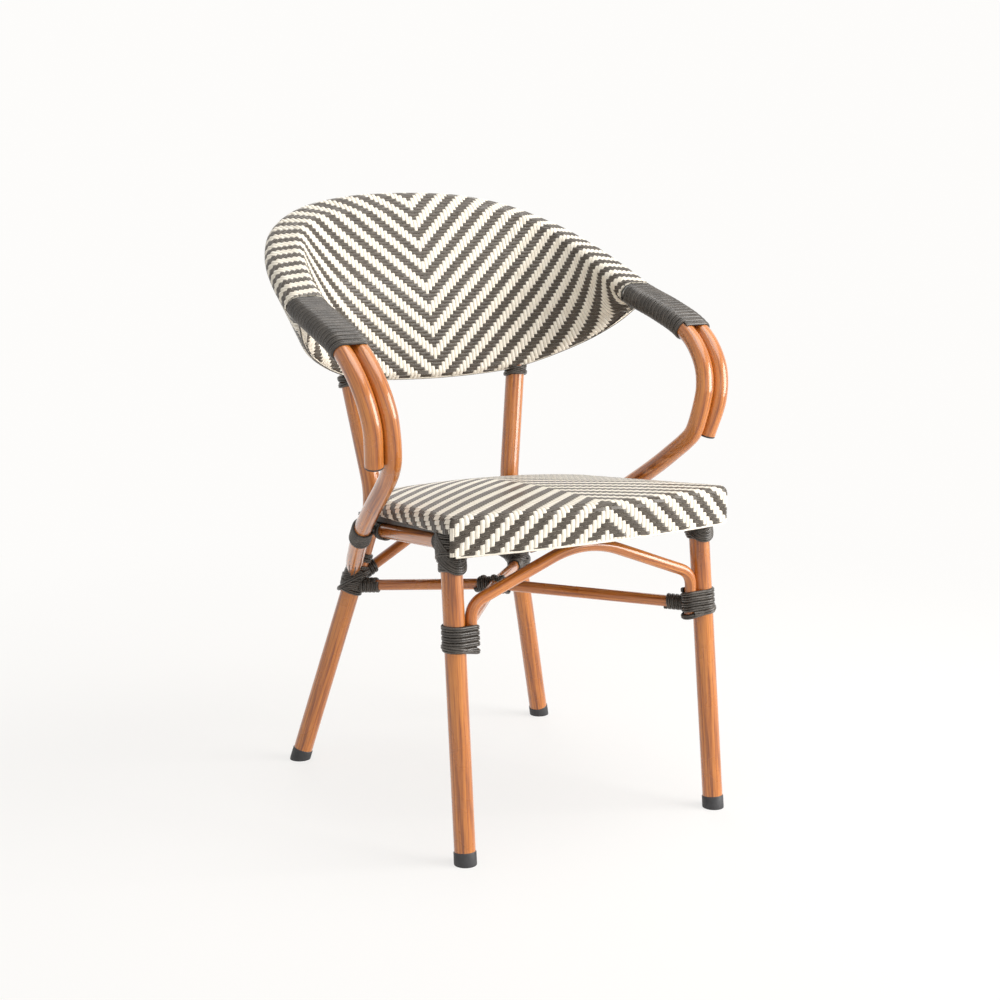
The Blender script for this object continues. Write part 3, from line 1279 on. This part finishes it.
# small parts: feet, end plugs, the wrapped tops of the rear legs and the cords under the back

smallParts = {
    # distances along and radii; the foot is cut level at the floor
    "foot": [(-0.008, 0.0143), (0.0, 0.0149), (0.0010, 0.0149), (0.0158, 0.0148), (0.0166, 0.0144), (0.0170, 0.0141)],
    "plug": [
        (-0.0120, 0.0095), (0.0002, 0.0095), (0.0002, 0.0124), (0.0016, 0.0125),
        (0.0024, 0.0121), (0.0030, 0.0109), (0.0032, 0.0),
    ],
    "feet": {"front_foot": "frontLeg", "rear_foot": "rearLeg"},
    "flats": 40,
    # under the back: degrees from the inner face, radius, material, slot, replaced
    "cords": {
        "edgeCord": (93, 0.0012, lashingStrip, "dark_strip", ["back_edge_trim"]),
        "edgeLine": (83, 0.0009, ivoryStrand, "woven_strand", []),
    },
    "cordStand": 0.0006,
}


def turnedPiece(name, start, way, profile, replaced, level):
    # rings along a straight axis; where it stands on the floor it is cut level
    profile = np.array(profile)
    obj = roundPiece(name, start + unit(way) * profile[:, :1], profile[:, 1], (1.0, 0, 0), smallParts["flats"])
    if level:
        bm = bmesh.new()
        bm.from_mesh(obj.data)
        whole = list(bm.verts) + list(bm.edges) + list(bm.faces)
        bmesh.ops.bisect_plane(bm, geom=whole, plane_co=(0, 0, 0), plane_no=(0, 0, 1), clear_inner=True)
        closeUp(bm)
        bm.to_mesh(obj.data)
        bm.free()
    return finishPiece(obj, footPlastic, replaced, 35)


def makeSmallParts():
    c = smallParts
    for hand, flip in bothHands:
        for node, leg in c["feet"].items():
            start, way = [flip(vector) for vector in tubeAxis(leg)[:2]]
            turnedPiece(pieceName(node, hand), start, way, c["foot"], [node + "_" + hand], True)
        outer = flip(pairAt(np.array([arms["outerEnd"] - 0.05, arms["outerEnd"]]))["outer"])
        node = "arm_end_plug_" + hand
        turnedPiece(pieceName("arm_plug", hand), outer[1], outer[1] - outer[0], c["plug"], [node], False)
        gap, *rest = freeWindings["upright_collar"]
        runs = [windingOn("rearLegTop", tubeAxis("rearLegTop")[2] + gap, *rest, [])]
        runs += [bandRun(*band) for band in bands["upright_collar"]]
        stripPiece(pieceName("leg_top_wrap", hand), hand, runs, strip["width"], ["upright_collar_" + hand])
    at = backStations()
    inwardLow = squareTo(at["inward"], at["railAlong"])
    down = -squareTo(at["face"], at["railAlong"])
    reach = backShell["railRadius"] + backShell["stand"] + c["cordStand"]
    for name, (degrees, radius, material, slotName, replaced) in c["cords"].items():
        way = inwardLow * math.cos(math.radians(degrees)) + down * math.sin(math.radians(degrees))
        line = evenly(bothSides(at["rail"] + way * reach), 0.005)
        tubePiece(name, line, radius, material, (0, 0, 1), replaced, 10)


makeSmallParts()
print("small parts ready")


# camera, floor and light

photoView = {
    "place": (-1.24367, -2.08444, 0.88024),
    "turnDegrees": -31.0124,
    "downDegrees": 10.9754,
    "rollDegrees": 0.136,
    "lens": 62.8805,
}
camera = newObject("photoCamera", bpy.data.cameras.new("photoCamera"))
camera.data.sensor_width = 36
camera.data.lens = photoView["lens"]
camera.data.clip_end = 50
facing = Matrix.Rotation(math.radians(photoView["turnDegrees"]), 4, "Z")
facing = facing @ Matrix.Rotation(math.radians(90 - photoView["downDegrees"]), 4, "X")
facing = facing @ Matrix.Rotation(math.radians(photoView["rollDegrees"]), 4, "Z")
camera.matrix_world = Matrix.Translation(photoView["place"]) @ facing
scene.camera = camera

room = {
    "floorSize": 60.0,
    "floorColour": (0.90, 0.89, 0.875, 1),
    "white": (0.985, 0.975, 0.96, 1),
    "fillColour": (1.0, 0.985, 0.965, 1),
    "fill": 0.43,
    "glow": 0.74,  # white in the floor where it is seen directly, near the chair
    "fadeFrom": 0.45,
    "fadeTo": 1.8,  # from here on out all of it is white
}


def seenDirectly(tree):
    # camera, glossy and transmission rays all meet the same white
    path = addNode(tree, "LightPath").outputs
    seen = addNode(tree, "Math", {0: path["Is Camera Ray"], 1: path["Is Glossy Ray"]}, operation="MAXIMUM")
    return addNode(tree, "Math", {0: seen, 1: path["Is Transmission Ray"]}, operation="MAXIMUM")


def paleSurface(name):
    # a pale diffuse floor, which keeps the chair's shadow
    material = bpy.data.materials.new(name)
    material.use_nodes = True
    tree = material.node_tree
    tree.nodes.clear()
    diffuse = addNode(tree, "BsdfDiffuse", {"Color": room["floorColour"]})
    white = addNode(tree, "Emission", {"Color": room["white"]})
    coords = addNode(tree, "TexCoord")
    away = addNode(tree, "VectorMath", {0: coords.outputs["Object"]}, operation="LENGTH")
    fade = addNode(tree, "MapRange", {
        "Value": away.outputs["Value"], "From Min": room["fadeFrom"], "From Max": room["fadeTo"],
        "To Min": room["glow"]}, interpolation_type="SMOOTHSTEP")
    part = addNode(tree, "Math", {0: seenDirectly(tree), 1: fade}, operation="MULTIPLY")
    mix = addNode(tree, "MixShader", {"Fac": part, 1: diffuse, 2: white})
    addNode(tree, "OutputMaterial", {"Surface": mix})
    return material


def makeRoom():
    bm = bmesh.new()
    bmesh.ops.create_grid(bm, x_segments=1, y_segments=1, size=room["floorSize"] / 2)
    floor = newObject("studioFloor", meshFrom(bm, "studioFloor"))
    floor.data.materials.append(paleSurface("paleFloor"))
    scene.world = scene.world or bpy.data.worlds.new("studioWorld")
    scene.world.use_nodes = True
    tree = scene.world.node_tree
    tree.nodes.clear()
    light = addNode(tree, "Background", {"Color": room["fillColour"], "Strength": room["fill"]})
    backdrop = addNode(tree, "Background", {"Color": room["white"], "Strength": 1.0})
    mix = addNode(tree, "MixShader", {"Fac": seenDirectly(tree), 1: light, 2: backdrop})
    addNode(tree, "OutputWorld", {"Surface": mix})


lamps = {
    "keyPanel": {
        "place": (2.2, -2.05, 1.35), "aim": (0, 0, 0.5), "size": 2.0, "power": 108, "colour": (1.0, 0.98, 0.955),
    },
    "topPanel": {
        "place": (0.5, -0.5, 3.2), "aim": (0, 0, 0.4), "size": 2.2, "power": 44, "colour": (1.0, 0.99, 0.975),
    },
    "frontPanel": {
        "place": (-0.6, -3.4, 1.8), "aim": (0, 0, 0.4), "size": 1.6, "power": 7, "colour": (1.0, 0.99, 0.97),
    },
    "backPanel": {
        "place": (1.2, 2.6, 2.2), "aim": (0, 0, 0.5), "size": 1.4, "power": 16, "colour": (1.0, 0.98, 0.95),
    },
}


def makeLamps():
    for name, lamp in lamps.items():
        data = bpy.data.lights.new(name, "AREA")
        data.size = lamp["size"]
        data.energy = lamp["power"]
        data.color = lamp["colour"]
        aim = Vector(lamp["aim"]) - Vector(lamp["place"])
        facing = aim.to_track_quat("-Z", "Y").to_matrix().to_4x4()
        newObject(name, data).matrix_world = Matrix.Translation(lamp["place"]) @ facing


makeRoom()
makeLamps()
